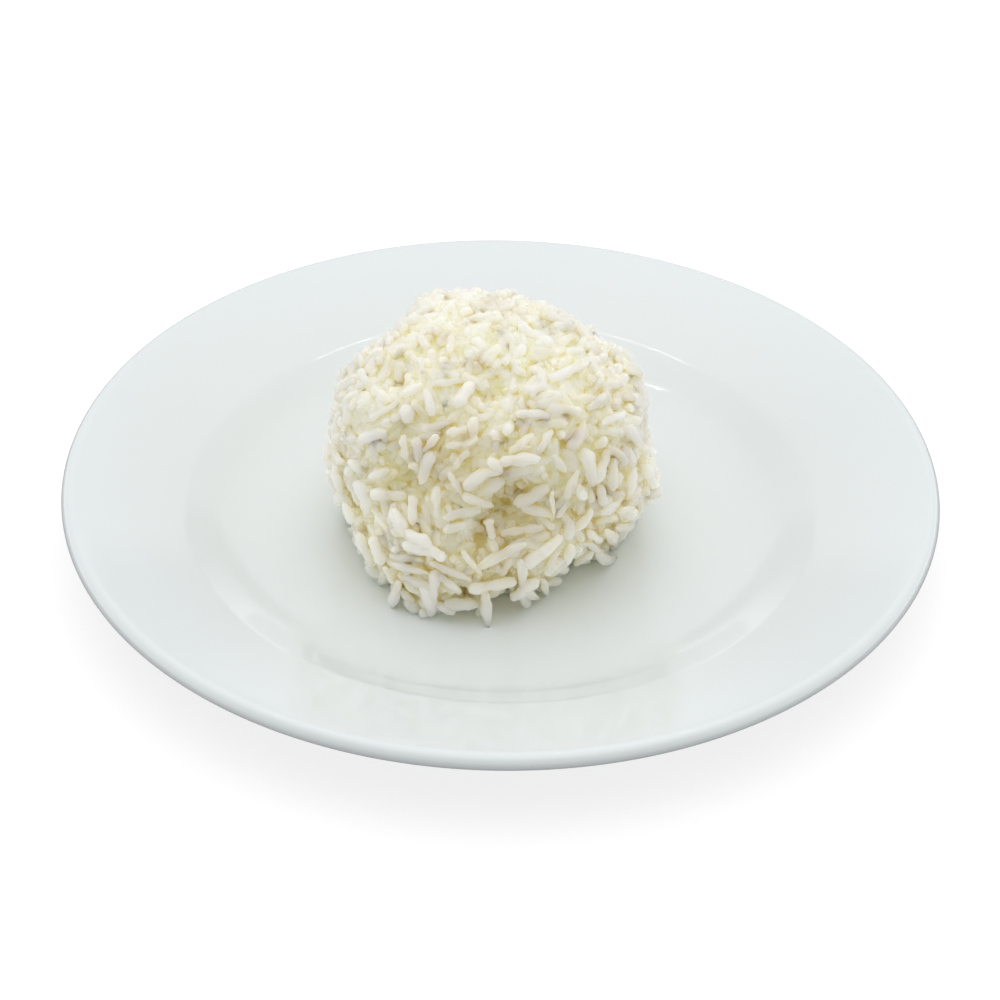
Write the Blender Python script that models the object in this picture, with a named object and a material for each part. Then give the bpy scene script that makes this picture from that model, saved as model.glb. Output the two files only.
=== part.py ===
"""Steamed white rice: one loose, lumpy heap of cooked long-grain rice in the well of a plain dinner plate.

Metres, +Z up. The origin is on the plate's axis, in the plane that the plate's foot ring stands on.
The front of the heap faces -Y.
"""

import math

import bmesh
import bpy
from mathutils import Vector

# Plate: a turned body with a raised rim, a shallow well and a foot ring.
PLATE_DIAMETER = 0.260
LIP_THICKNESS = 0.0046
FLOOR_THICKNESS = 0.0046
WALL_THICKNESS = 0.0042
SHOULDER_RADIUS = 0.0942  # where the well's wall turns over into the rim
COVE_OUTER_RADIUS = 0.0852  # where the straight wall runs into the cove
FLOOR_RADIUS = 0.0700  # the flat middle of the well
RIM_RISE = 0.0070  # from the shoulder to the middle of the lip
WALL_DROP = 0.0043  # from the shoulder to the top of the cove
SHOULDER_ROUND = 0.0016  # how far each way the shoulder's rounding reaches
FOOT_OUTER_RADIUS = 0.0775
FOOT_INNER_RADIUS = 0.0735
FOOT_HEIGHT = 0.0030
FOOT_FLARE = 0.0025  # how much wider the foot ring is at its root
EDGE_ROUND = 0.0008
SHOULDER_STEPS = 4
FOOT_STEPS = 2
LIP_STEPS = 8
COVE_STEPS = 5
PLATE_SEGMENTS = 76
MERGE_DISTANCE = 0.00001

# Heap: a ball of rice that has sagged on to the plate, widest a third of the way up.
GAP = 0.0003  # between the heap and the plate's floor
HEAP_CENTRE = (-0.0025, -0.0010)
HEAP_WIDTH = 0.098
HEAP_HEIGHT = 0.0750
WIDEST_HEIGHT = 0.0260
FOOT_SHARE = 0.93  # the heap's radius on the plate, as a share of its widest radius
CROWN_POWER = 2.15  # 2 is a round crown, more is a squarer one
LOWER_ROWS = 7
UPPER_ROWS = 17
HEAP_SEGMENTS = 64

# Bulges and hollows of the heap: (azimuth, elevation, spread, height), the first three in degrees as seen
# from the heap's middle. Azimuth 0 is +X, the right-hand side, and -90 is the front.
LOBES = {
    "crown_peak": (127, 45, 9, 0.0034),
    "crown_slope": (52, 48, 34, -0.0036),
    "crown_dip": (-95, 66, 16, -0.0022),
    "left_notch": (148, 34, 14, -0.0048),
    "left_shoulder": (166, 22, 11, 0.0018),
    "left_flank": (-178, -3, 9, 0.0016),
    "left_cheek": (-150, 24, 16, 0.0018),
    "left_foot": (-158, -24, 16, -0.0030),
    "left_crevice": (-122, 17, 11, -0.0038),
    "front_shelf": (-112, -12, 22, 0.0036),
    "front_foot": (-116, -34, 15, 0.0030),
    "front_cave": (-84, 14, 12, -0.0050),
    "front_brow": (-72, 30, 13, 0.0026),
    "front_chin": (-70, -8, 12, 0.0020),
    "front_undercut": (-55, -33, 20, -0.0100),
    "right_undercut": (-22, -30, 18, -0.0062),
    "right_cheek": (-30, 38, 16, 0.0022),
    "right_flank": (-12, -4, 11, 0.0014),
    "right_dip": (10, 12, 14, -0.0034),
    "back_bulge_low": (70, -6, 26, 0.0020),
    "back_dip": (100, 14, 18, -0.0030),
    "back_bulge_high": (84, 34, 17, 0.0016),
    "back_right_bulge": (34, 2, 16, 0.0022),
    "back_left_bulge": (132, 2, 18, 0.0024),
    "back_foot": (95, -32, 22, -0.0034),
}


def clear_scene():
    for existing in list(bpy.data.objects):
        bpy.data.objects.remove(existing, do_unlink=True)


def make_material(name, colour, roughness, subsurface=0.0):
    material = bpy.data.materials.new(name)
    material.use_nodes = True
    shader = material.node_tree.nodes["Principled BSDF"]
    shader.inputs["Base Color"].default_value = (*colour, 1.0)
    shader.inputs["Roughness"].default_value = roughness
    shader.inputs["Metallic"].default_value = 0.0
    shader.inputs["Subsurface Weight"].default_value = subsurface
    return material


def arc(centre, radius, start_deg, end_deg, steps):
    """Points of an arc in the (radius, height) plane, both ends included."""
    points = []
    for step in range(steps + 1):
        angle = math.radians(start_deg + (end_deg - start_deg) * step / steps)
        points.append((centre[0] + radius * math.cos(angle), centre[1] + radius * math.sin(angle)))
    return points


def quadratic_bend(start, corner, end, steps):
    """A smooth bend from start to end that leaves and arrives along the lines through the corner."""
    points = []
    for step in range(steps + 1):
        t = step / steps
        weights = ((1 - t) ** 2, 2 * t * (1 - t), t**2)
        points.append(tuple(
            weights[0] * start[axis] + weights[1] * corner[axis] + weights[2] * end[axis] for axis in (0, 1)
        ))
    return points


def toward(start, end, distance):
    """The point that distance away from start, on the line to end."""
    run = math.hypot(end[0] - start[0], end[1] - start[1])
    return tuple(start[axis] + (end[axis] - start[axis]) * distance / run for axis in (0, 1))


def rounded(before, corner, after, reach, steps):
    """The corner between two straight stretches, rounded off over reach each way."""
    return quadratic_bend(toward(corner, before, reach), corner, toward(corner, after, reach), steps)


def floor_top():
    return FOOT_HEIGHT + FLOOR_THICKNESS


def cove_rise():
    """The cove starts flat and ends as steep as the wall, so it rises half of that slope times its width."""
    wall_slope = WALL_DROP / (SHOULDER_RADIUS - COVE_OUTER_RADIUS)
    return wall_slope * (COVE_OUTER_RADIUS - FLOOR_RADIUS) / 2


def plate_profile():
    """The plate's half section, from the middle of its upper side, over the lip, to the middle below."""
    lip_round = LIP_THICKNESS / 2
    cove_top = (COVE_OUTER_RADIUS, floor_top() + cove_rise())
    shoulder = (SHOULDER_RADIUS, cove_top[1] + WALL_DROP)
    lip_centre = (PLATE_DIAMETER / 2 - lip_round, shoulder[1] + RIM_RISE)
    floor_edge = (FLOOR_RADIUS, floor_top())
    cove_corner = ((FLOOR_RADIUS + COVE_OUTER_RADIUS) / 2, floor_top())

    rim_slope_deg = math.degrees(math.atan2(RIM_RISE + lip_round, lip_centre[0] - SHOULDER_RADIUS))
    lip = arc(lip_centre, lip_round, 90 + rim_slope_deg, rim_slope_deg - 90, LIP_STEPS)

    under_shoulder = (SHOULDER_RADIUS + WALL_THICKNESS / 2, shoulder[1] - WALL_THICKNESS)
    foot_root = (FOOT_OUTER_RADIUS + FOOT_FLARE, FOOT_HEIGHT)
    foot_outer = (FOOT_OUTER_RADIUS, 0.0)
    foot_inner = (FOOT_INNER_RADIUS, 0.0)
    recess_edge = (FOOT_INNER_RADIUS - FOOT_FLARE, FOOT_HEIGHT)
    recess_middle = (0.0, FOOT_HEIGHT)

    points = [(0.0, floor_top())]
    points += quadratic_bend(floor_edge, cove_corner, cove_top, COVE_STEPS)
    points += rounded(cove_top, shoulder, lip[0], SHOULDER_ROUND, SHOULDER_STEPS)
    points += lip
    points += rounded(lip[-1], under_shoulder, foot_root, SHOULDER_ROUND, SHOULDER_STEPS)
    points += rounded(under_shoulder, foot_root, foot_outer, EDGE_ROUND, FOOT_STEPS)
    points += rounded(foot_root, foot_outer, foot_inner, EDGE_ROUND, FOOT_STEPS)
    points += rounded(foot_outer, foot_inner, recess_edge, EDGE_ROUND, FOOT_STEPS)
    points += rounded(foot_inner, recess_edge, recess_middle, EDGE_ROUND, FOOT_STEPS)
    points.append(recess_middle)
    return points


def make_plate(material):
    """The half section turned a full circle about the plate's axis."""
    mesh = bpy.data.meshes.new("plate")
    points = plate_profile()
    edges = [(index, index + 1) for index in range(len(points) - 1)]
    mesh.from_pydata([(radius, 0.0, height) for radius, height in points], edges, [])
    plate = bpy.data.objects.new("plate", mesh)
    bpy.context.scene.collection.objects.link(plate)
    screw = plate.modifiers.new("turn", "SCREW")
    screw.axis = "Z"
    screw.angle = math.tau
    screw.steps = PLATE_SEGMENTS
    screw.render_steps = PLATE_SEGMENTS
    screw.use_smooth_shade = True
    screw.use_merge_vertices = True
    screw.merge_threshold = MERGE_DISTANCE
    mesh.materials.append(material)
    return plate


def lobe_height(direction):
    """How far the heap's lobes push its surface out in this direction."""
    total = 0.0
    for azimuth, elevation, spread, height in LOBES.values():
        around = math.radians(azimuth)
        up = math.radians(elevation)
        axis = Vector((math.cos(around) * math.cos(up), math.sin(around) * math.cos(up), math.sin(up)))
        off = math.degrees(axis.angle(direction))
        total += height * math.exp(-((off / spread) ** 2))
    return total


def meridian():
    """The heap's half section before its lobes, as (radius, height above the plate's floor), foot first."""
    half_width = HEAP_WIDTH / 2
    crown = HEAP_HEIGHT - WIDEST_HEIGHT
    points = []
    for row in range(LOWER_ROWS):
        below = 1 - row / LOWER_ROWS
        points.append((half_width * (1 - (1 - FOOT_SHARE) * below**2), WIDEST_HEIGHT * (1 - below)))
    for row in range(UPPER_ROWS):
        angle = math.pi / 2 * row / UPPER_ROWS
        stretch = (math.cos(angle) ** CROWN_POWER + math.sin(angle) ** CROWN_POWER) ** (-1 / CROWN_POWER)
        points.append((half_width * math.cos(angle) * stretch, WIDEST_HEIGHT + crown * math.sin(angle) * stretch))
    return points


def heap_point(radius, height, azimuth):
    """A point of the heap's surface about the heap's middle, pushed out by the lobes and kept off the floor."""
    middle = Vector((0.0, 0.0, WIDEST_HEIGHT))
    point = Vector((radius * math.cos(azimuth), radius * math.sin(azimuth), height))
    direction = (point - middle).normalized()
    point += direction * lobe_height(direction)
    point.z = max(point.z, 0.0)
    if height == 0.0:
        point.z = 0.0
    return point


def make_heap(material):
    """Rings of points from the flat foot up to the crown, closed by a fan at each end."""
    base = Vector((HEAP_CENTRE[0], HEAP_CENTRE[1], floor_top() + GAP))
    shape = bmesh.new()
    rings = []
    for radius, height in meridian():
        ring = []
        for segment in range(HEAP_SEGMENTS):
            azimuth = math.tau * segment / HEAP_SEGMENTS
            ring.append(shape.verts.new(base + heap_point(radius, height, azimuth)))
        rings.append(ring)
    for lower, upper in zip(rings, rings[1:]):
        for segment in range(HEAP_SEGMENTS):
            beside = (segment + 1) % HEAP_SEGMENTS
            shape.faces.new((lower[segment], lower[beside], upper[beside], upper[segment]))
    top = shape.verts.new(base + heap_point(0.0, HEAP_HEIGHT, 0.0))
    foot = shape.verts.new(base)
    for segment in range(HEAP_SEGMENTS):
        beside = (segment + 1) % HEAP_SEGMENTS
        shape.faces.new((rings[-1][segment], rings[-1][beside], top))
        shape.faces.new((rings[0][beside], rings[0][segment], foot))
    mesh = bpy.data.meshes.new("rice_heap")
    shape.to_mesh(mesh)
    shape.free()
    mesh.shade_smooth()
    mesh.materials.append(material)
    heap = bpy.data.objects.new("rice_heap", mesh)
    bpy.context.scene.collection.objects.link(heap)
    return heap


def main():
    clear_scene()
    make_plate(make_material("white_porcelain", (0.83, 0.85, 0.85), 0.12))
    make_heap(make_material("cooked_rice", (0.86, 0.83, 0.68), 0.35, subsurface=0.3))


main()
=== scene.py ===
"""The looks of a plate of steamed white rice: a glazed white dinner plate and a heap of loose cooked grains.

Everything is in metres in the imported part's frame: +Z up, the plate's axis on Z, and the side that the
photograph shows facing -Y.
"""

import math

import bmesh
import bpy
import numpy as np
from mathutils import Matrix, Vector, noise as waves
from mathutils.bvhtree import BVHTree
from mathutils.kdtree import KDTree


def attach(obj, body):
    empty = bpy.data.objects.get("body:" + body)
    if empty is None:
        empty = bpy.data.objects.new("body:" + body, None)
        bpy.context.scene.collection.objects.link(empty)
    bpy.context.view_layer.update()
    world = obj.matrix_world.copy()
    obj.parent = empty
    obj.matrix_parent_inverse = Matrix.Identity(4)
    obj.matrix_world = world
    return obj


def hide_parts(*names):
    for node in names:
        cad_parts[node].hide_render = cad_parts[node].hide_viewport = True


MM = 0.001
SEED = 20

# ---- camera ----
IMAGE_SIDE = 1000  # pixels
FOCAL_PIXELS = 3500.0
SENSOR_MM = 36.0
LOOK_DOWN_DEG = 36.76
ROLL_DEG = 0.92
LIP_DISTANCE = 1041.0 * MM  # from the camera to the middle of the plate's lip, along the view
LIP_OFFSET = (0.28 * MM, 5.66 * MM)  # of the lip's middle from the picture's middle, to the right and up

# ---- plate, as in the part but for its thicker lip and its tighter shoulder ----
PLATE_RADIUS = 130.0 * MM
LIP_ROUND = 2.3 * MM
LIP_ROLL = 3.1 * MM  # how far in from its edge, and how high over it, the rim starts to roll down
LIP_CORNER = 0.6 * MM
FLOOR_RADIUS = 70.0 * MM
COVE_OUTER_RADIUS = 85.2 * MM
SHOULDER_RADIUS = 94.2 * MM
WALL_DROP = 4.3 * MM
RIM_RISE = 7.0 * MM
WALL_THICKNESS = 4.2 * MM
SHOULDER_ROUND = 1.2 * MM
FLOOR_THICKNESS = 4.6 * MM
FOOT_HEIGHT = 3.0 * MM
FOOT_INNER_RADIUS = 73.5 * MM
FOOT_OUTER_RADIUS = 77.5 * MM
FOOT_FLARE = 2.5 * MM
FOOT_ROUND = 0.8 * MM
PLATE_SEGMENTS = 288  # around the plate

# ---- rice ----
HEAP_MIDDLE = Vector((-2.5, -1.0, 33.9)) * MM
HEAP_RADIUS = 47 * MM  # about its middle, to scale the clumps by
GRAIN_LENGTH = (6.0, 9.5)  # mm
GRAIN_WIDTH = (2.5, 3.4)  # mm
BROKEN_SHARE = 0.25
BROKEN_LENGTH = (0.45, 0.75)  # of a broken grain, as a share of a whole one's
LOOSE_GRAINS = 4800
LOOSE_BOW = 0.075  # of a loose grain, as a share of its length
LOOSE_RISE = (0.3 * MM, 0.6 * MM)  # of a loose grain over the heap's outline: mean and spread
HEAP_FOOT = -0.62  # the sine of the elevation, from the heap's middle, at which it meets the plate
LEAST_DEPTH = 1.2 * MM  # of a loose grain's middle under the outline, before it settles
SHELL_DEPTH = 7.5 * MM  # how deep the loose grains reach under the heap's outline
SHELL_SLACK = 1.5 * MM  # how much deeper they may be pushed
CORE_INSET = 4.6 * MM  # how far under the outline the core lies
TOP_CORE_INSET = 3.4 * MM  # towards the heap's top, where the grains lie closer together
TOP_START = 0.15  # the sine of the elevation at which the heap's top starts
TOP_SPAN = 0.5  # and how far above that the inset has changed in full
CORE_ROWS = 70
CORE_COLUMNS = 140
CORE_LOWEST = math.radians(-38)  # the elevation at which the core's sides end over the plate
CORE_LIFT = 0.4 * MM  # between the core and the plate's floor
CORE_BUMP = 0.7 * MM
BEDDED_GRAINS = 2400  # strewn over the core; those under the heap are left out
BEDDED_LOWEST = -0.6  # the sine of the elevation below which they are left out
BEDDED_RISE = (-0.8, 0.6)  # mm, over the core
BEDDED_HALF = (2.4, 4.2)  # mm, half their length
BEDDED_BOW = 0.05  # as a share of half their length
LYING = 0.35  # how much less a loose grain points outwards than any way at random
BEDDED_LYING = 0.85  # the same for the grains sunk in the core
INNER_SWELL = 1.12  # inner grains are this much thicker than they lie apart, so that they close up
OUTER_DEPTH = 2.8 * MM  # grains whose middle lies less deep than this are the outer ones
CONTACT = 0.60  # how near two grains come, as a share of their radii: cooked grains sink into each other
SHOWN_DETAIL = (14, 12)  # rings along a grain and sides around it, before the grains are fused
OUTER_DETAIL = (8, 10)
INNER_DETAIL = (6, 8)
RICE_TRIANGLES = 192000
CREASE_ANGLE = math.radians(45)  # grains meet in creases sharper than this
# these rays find how open the rice lies, which sets where shade is painted into its colour
LIGHT_RAYS = 12  # from each point of the rice, to find how open it lies
LIGHT_REACH = 9.0 * MM
RAY_LIFT_MM = 0.05  # of a ray's start over the surface
OUTWARDS = 1.001  # over 1, so that every ray leaves the surface
ROUGHENING = [(2.4 * MM, 0.55 * MM), (1.5 * MM, 0.20 * MM)]  # wave lengths and heights of uneven grains
BEADS = 5  # spheres along a grain, which keep grains apart
SETTLE_STEPS = 70
START_SIZE = 0.3  # grains swell from this share of their width as they settle, so that few stay crossed
GROWTH = 1.1
FLOOR_TOUCH = 0.98  # how high over the floor a bead stays, as a share of its radius
PUSH_APART = 0.55  # the share of an overlap that one step takes away
PUSH_HOME = 0.8  # the share of a way back inside the outline that one step goes
COVER_SPAN = 0.75  # beads nearer in the picture than this share of both their radii cover each other
COVER_DEPTH = 0.6  # how far behind a shown grain's axis a loose one has to lie, as a share of its radius
GAP_SPAN = 0.5  # how far out of a gap a grain's axis has to lie, as a share of its radius
MOST_COVER = 1.5 * MM  # loose grains that still lie this far in front of a shown one or a gap are taken out
SAME_SIDE = 20 * MM  # beads farther than this before a shown grain are on the heap's other side
PIXELS_PER_MM = 3.42  # at the front of the heap
LOOSE_TONES = (0, 0.75)  # from 0, ivory, to 1, white
SHOWN_TONES = (0.6, 1.15)  # the grains that stand out are whiter

# ---- light ----
# How bright the tent is from below, over the horizon, to straight up: (height of the direction, brightness).
TENT_BEHIND = [
    (-0.06, 0.25), (0.06, 1.20), (0.26, 0.42), (0.38, 0.35), (0.46, 0.90), (0.70, 0.86), (1.0, 1.70)
]
TENT_IN_FRONT = [(-0.06, 0.20), (0.06, 0.20), (0.35, 1.00), (0.70, 0.20), (1.0, 1.70)]
TENT_BESIDE = [(-0.06, 0.0), (0.06, 1.65), (0.35, 0.50), (0.70, 0.0), (1.0, 0.0)]  # on top, at the sides
FRONT_FADE = (-0.6, 0.2)  # from the tent in front to the one behind, by how far a direction points back
SIDE_FADE = (0.3, 0.9)  # the light beside sets in and is full where a direction points this far to a side
MIDDLE_FADE = (0.33, 0.50)  # and so changes the gain of the light in front and behind
MIDDLE_GAIN = (1.12, 0.80)
LAMP_ROW_PLACE = (0.0, 0.435, 1.0)
LAMP_ROW_AIM = (0.0, 0.0, 0.02)
LAMP_ROW_LENGTH = 0.66
LAMP_SIZE = 30 * MM
LAMP_ROW_POWER = 0.6
LAMPS = 11
LAMP_EDGE = (0.88, 0.97)  # of the wave along the row, where a lamp's light sets in and where it is full
LAMP_GLOW = (0.5, 3.0)  # between two lamps and at each
BOUNCES = 48

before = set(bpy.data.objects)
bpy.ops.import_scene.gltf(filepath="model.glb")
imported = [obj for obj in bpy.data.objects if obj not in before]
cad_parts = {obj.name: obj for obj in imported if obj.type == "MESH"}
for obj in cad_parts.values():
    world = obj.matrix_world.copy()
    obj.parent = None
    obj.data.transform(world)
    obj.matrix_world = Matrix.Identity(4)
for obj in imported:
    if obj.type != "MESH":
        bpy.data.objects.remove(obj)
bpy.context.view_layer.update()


# ---- small helpers ----
def link(obj):
    bpy.context.scene.collection.objects.link(obj)
    return obj


def unit(vectors):
    return vectors / np.maximum(np.linalg.norm(vectors, axis=-1, keepdims=True), 1e-12)


# ---- meshes ----
def closed_faces(rings, sides):
    """Quads between rings of vertices and triangles to the two end points, which come after the rings."""
    quads, triangles = [], []
    for low in range(0, (rings - 1) * sides, sides):
        high = low + sides
        for side in range(sides):
            beside = (side + 1) % sides
            quads.append((low + side, low + beside, high + beside, high + side))
    start, end = rings * sides, rings * sides + 1
    last = (rings - 1) * sides
    for side in range(sides):
        beside = (side + 1) % sides
        triangles.append((start, beside, side))
        triangles.append((end, last + side, last + beside))
    return np.array(quads), np.array(triangles)


def mesh_from_arrays(name, points, quads, triangles):
    mesh = bpy.data.meshes.new(name)
    mesh.vertices.add(len(points))
    mesh.vertices.foreach_set("co", points.astype(np.float32).ravel())
    loops = np.concatenate([quads.ravel(), triangles.ravel()])
    mesh.loops.add(len(loops))
    mesh.loops.foreach_set("vertex_index", loops.astype(np.int32))
    starts = np.concatenate([np.arange(len(quads)) * 4, len(quads) * 4 + np.arange(len(triangles)) * 3])
    mesh.polygons.add(len(starts))
    mesh.polygons.foreach_set("loop_start", starts.astype(np.int32))
    mesh.update(calc_edges=True)
    mesh.validate()
    mesh.shade_smooth()
    return mesh


# ---- camera maths ----
def camera_axes():
    """The camera's right, up and forward directions in the frame."""
    down = math.radians(LOOK_DOWN_DEG)
    roll = math.radians(ROLL_DEG)
    forward = Vector((0.0, math.cos(down), -math.sin(down)))
    level_right = Vector((1.0, 0.0, 0.0))
    level_up = level_right.cross(forward)
    right = level_right * math.cos(roll) + level_up * math.sin(roll)
    up = level_up * math.cos(roll) - level_right * math.sin(roll)
    return right, up, forward


def lip_height():
    return cove_top_height() + WALL_DROP + RIM_RISE


def camera_place():
    right, up, forward = camera_axes()
    lip_middle = Vector((0.0, 0.0, lip_height()))
    return lip_middle - forward * LIP_DISTANCE - right * LIP_OFFSET[0] - up * LIP_OFFSET[1]


def pixel_ray(x, y):
    """The direction from the camera through a pixel of the photograph, one metre deep along the view."""
    right, up, forward = camera_axes()
    half = IMAGE_SIDE / 2
    return forward + right * ((x - half) / FOCAL_PIXELS) + up * ((half - y) / FOCAL_PIXELS)


def pixel_of(points):
    """Pixels of the photograph, and depths, of an array of points."""
    right, up, forward = (np.array(axis) for axis in camera_axes())
    away = points - np.array(camera_place())
    depth = away @ forward
    half = IMAGE_SIDE / 2
    across = half + FOCAL_PIXELS * (away @ right) / depth
    down = half - FOCAL_PIXELS * (away @ up) / depth
    return across, down, depth


def make_camera():
    right, up, forward = camera_axes()
    data = bpy.data.cameras.new("camera")
    data.sensor_width = SENSOR_MM
    data.lens = FOCAL_PIXELS * SENSOR_MM / IMAGE_SIDE
    data.clip_start = 0.05
    data.clip_end = 20.0
    camera = link(bpy.data.objects.new("camera", data))
    turn = Matrix((right, up, -forward)).transposed()
    camera.matrix_world = Matrix.Translation(camera_place()) @ turn.to_4x4()
    bpy.context.scene.camera = camera


# ---- plate ----
def floor_height():
    return FOOT_HEIGHT + FLOOR_THICKNESS


def cove_top_height():
    wall_slope = WALL_DROP / (SHOULDER_RADIUS - COVE_OUTER_RADIUS)
    return floor_height() + wall_slope * (COVE_OUTER_RADIUS - FLOOR_RADIUS) / 2


def bend(start, corner, end, steps):
    """A smooth bend in the (radius, height) plane that leaves and arrives along the lines to the corner."""
    points = []
    for step in range(steps + 1):
        t = step / steps
        near, middle, far = (1 - t) ** 2, 2 * t * (1 - t), t * t
        points.append(tuple(near * a + middle * b + far * c for a, b, c in zip(start, corner, end)))
    return points


def toward(start, end, distance):
    run = math.dist(start, end)
    return tuple(a + (b - a) * distance / run for a, b in zip(start, end))


def rounded(before, corner, after, reach, steps):
    return bend(toward(corner, before, reach), corner, toward(corner, after, reach), steps)


def arc(centre, radius, start_deg, end_deg, steps):
    angles = np.radians(np.linspace(start_deg, end_deg, steps + 1))
    return [(centre[0] + radius * math.cos(a), centre[1] + radius * math.sin(a)) for a in angles]


def straight(start, end, steps):
    """The points between two ends, both left out."""
    shares = [step / steps for step in range(1, steps)]
    return [tuple(a + (b - a) * share for a, b in zip(start, end)) for share in shares]


def plate_profile():
    """The plate's half section from the middle above, over the lip, to the middle below."""
    cove_top = (COVE_OUTER_RADIUS, cove_top_height())
    shoulder = (SHOULDER_RADIUS, cove_top[1] + WALL_DROP)
    lip_centre = (PLATE_RADIUS - LIP_ROUND, lip_height())
    rim_slope_deg = math.degrees(math.atan2(RIM_RISE + LIP_ROUND, lip_centre[0] - SHOULDER_RADIUS))
    roll_centre = (PLATE_RADIUS - LIP_ROLL, lip_height())
    lip = arc(roll_centre, LIP_ROLL, 90 + rim_slope_deg, 0, 20)
    under_lip = (lip_centre[0] - LIP_ROUND / 2, lip_centre[1] - LIP_ROUND)
    edge = (PLATE_RADIUS, lip_height() - LIP_CORNER)
    lip += rounded(lip[-1], edge, under_lip, LIP_CORNER, 6)[1:]
    lip += [under_lip]
    under_shoulder = (SHOULDER_RADIUS + WALL_THICKNESS / 2, shoulder[1] - WALL_THICKNESS)
    foot_root = (FOOT_OUTER_RADIUS + FOOT_FLARE, FOOT_HEIGHT)
    recess_middle = (0.0, FOOT_HEIGHT)
    foot = [under_shoulder, foot_root, (FOOT_OUTER_RADIUS, 0.0), (FOOT_INNER_RADIUS, 0.0)]
    foot += [(FOOT_INNER_RADIUS - FOOT_FLARE, FOOT_HEIGHT), recess_middle]
    floor_middle = (0.0, floor_height())
    floor_edge = (FLOOR_RADIUS, floor_height())
    cove_corner = ((FLOOR_RADIUS + COVE_OUTER_RADIUS) / 2, floor_height())
    upper_shoulder = rounded(cove_top, shoulder, lip[0], SHOULDER_ROUND, 12)
    lower_shoulder = rounded(lip[-1], under_shoulder, foot_root, SHOULDER_ROUND, 8)

    points = [floor_middle] + straight(floor_middle, floor_edge, 8)
    points += bend(floor_edge, cove_corner, cove_top, 14)
    points += straight(cove_top, upper_shoulder[0], 4) + upper_shoulder
    points += straight(upper_shoulder[-1], lip[0], 8) + lip
    points += straight(lip[-1], lower_shoulder[0], 6) + lower_shoulder
    for before, corner, after in zip(foot, foot[1:], foot[2:]):
        points += rounded(before, corner, after, FOOT_ROUND, 5)
    points += straight(points[-1], recess_middle, 4) + [recess_middle]
    return points


def make_plate():
    """The half section turned about the plate's axis."""
    top, *section, bottom = plate_profile()
    radii, heights = (np.array(values)[:, None] for values in zip(*section))
    turns = np.linspace(0, math.tau, PLATE_SEGMENTS, endpoint=False)
    points = np.stack([radii * np.cos(turns), radii * np.sin(turns), heights + 0 * turns], axis=-1)
    points = np.concatenate([points.reshape(-1, 3), [(0, 0, top[1])], [(0, 0, bottom[1])]])
    mesh = mesh_from_arrays("dinner_plate", points, *closed_faces(len(section), PLATE_SEGMENTS))
    mesh.flip_normals()
    mesh.materials.append(porcelain())
    plate = link(bpy.data.objects.new("dinner_plate", mesh))
    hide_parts("plate")
    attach(plate, "root")


# ---- the heap's outline, from the part ----
def heap_tree():
    """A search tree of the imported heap's surface."""
    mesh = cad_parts["rice_heap"].data
    mesh.calc_loop_triangles()
    points = [vertex.co.copy() for vertex in mesh.vertices]
    faces = [tuple(triangle.vertices) for triangle in mesh.loop_triangles]
    return BVHTree.FromPolygons(points, faces)


HEAP = heap_tree()
HEAP_PIXEL = (492.0, 455.0)  # the heap's middle in the photograph


def outline_depth(x, y):
    """How far along the view, from the camera, a pixel's ray meets the heap.

    A ray that passes by the heap takes the depth of the nearest one towards the middle that doesn't."""
    eye = camera_place()
    for share in np.linspace(0, 1, 60):
        ray = pixel_ray(x + (HEAP_PIXEL[0] - x) * share, y + (HEAP_PIXEL[1] - y) * share)
        hit = HEAP.ray_cast(eye, ray.normalized())
        if hit[0] is not None:
            return hit[3] / ray.length
    return LIP_DISTANCE


TABLE_ROWS = 120
TABLE_COLUMNS = 240
CLUMPS = 150
CLUMP_RISE_MM = 1.1
CLUMP_RADII_MM = (4.5, 8.0)

# Hollows (negative) and bulges of the heap's front: pixel, radius in pixels and height in millimetres.
RELIEF = [
    (405, 480, 18, -4.5),
    (432, 484, 10, -3.0),
    (512, 500, 24, -7.5),
    (500, 525, 16, -4.5),
    (480, 524, 6, -10.0),
    (478, 538, 7, -14.0),
    (481, 552, 6, -10.0),
    (535, 520, 20, -3.5),
    (468, 560, 14, -4.0),
    (440, 397, 9, -2.0),
    (492, 396, 8, -2.0),
    (506, 440, 9, -3.0),
    (565, 477, 10, -2.5),
    (452, 540, 10, -3.0),
    (345, 500, 10, -1.5),
    (598, 520, 8, -2.0),
    (470, 605, 12, -3.0),
    (577, 577, 16, -7.0),
    (500, 385, 20, -3.0),
    (388, 378, 18, -5.5),
    (540, 352, 16, -2.0),
    (458, 611, 13, -8.0),
    (512, 607, 14, -10.0),
    (406, 528, 22, 3.0),
    (612, 440, 16, 1.5),
]


def relief(directions):
    """The height of the finer hollows and bulges in each of these directions from the heap's middle."""
    height = np.zeros(directions.shape[:-1])
    for x, y, radius, rise in RELIEF:
        centre = np.array(surface_point(x, y) - HEAP_MIDDLE)
        distance = np.linalg.norm(centre)
        apart = np.linalg.norm(directions - centre / distance, axis=-1) * distance
        height += rise * MM * np.exp(-((apart / (radius / PIXELS_PER_MM * MM)) ** 2))
    return height


def surface_point(x, y):
    eye = camera_place()
    return eye + pixel_ray(x, y) * outline_depth(x, y)


def clump_relief(directions):
    """Clumps that the grains stick together in, all over the heap."""
    draw = np.random.default_rng(SEED + 5)
    height = np.zeros(directions.shape[:-1])
    for _ in range(CLUMPS):
        centre = unit(draw.normal(size=3))
        apart = np.linalg.norm(directions - centre, axis=-1) * HEAP_RADIUS
        rise = draw.normal(0, CLUMP_RISE_MM) * MM
        height += rise * np.exp(-((apart / (draw.uniform(*CLUMP_RADII_MM) * MM)) ** 2))
    return height


def directions_at(elevation, azimuth):
    """Unit directions for a column of elevations and a row of azimuths."""
    flat = np.cos(elevation)
    height = np.sin(elevation) * np.ones_like(azimuth)
    return np.stack([flat * np.cos(azimuth), flat * np.sin(azimuth), height], axis=-1)


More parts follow.
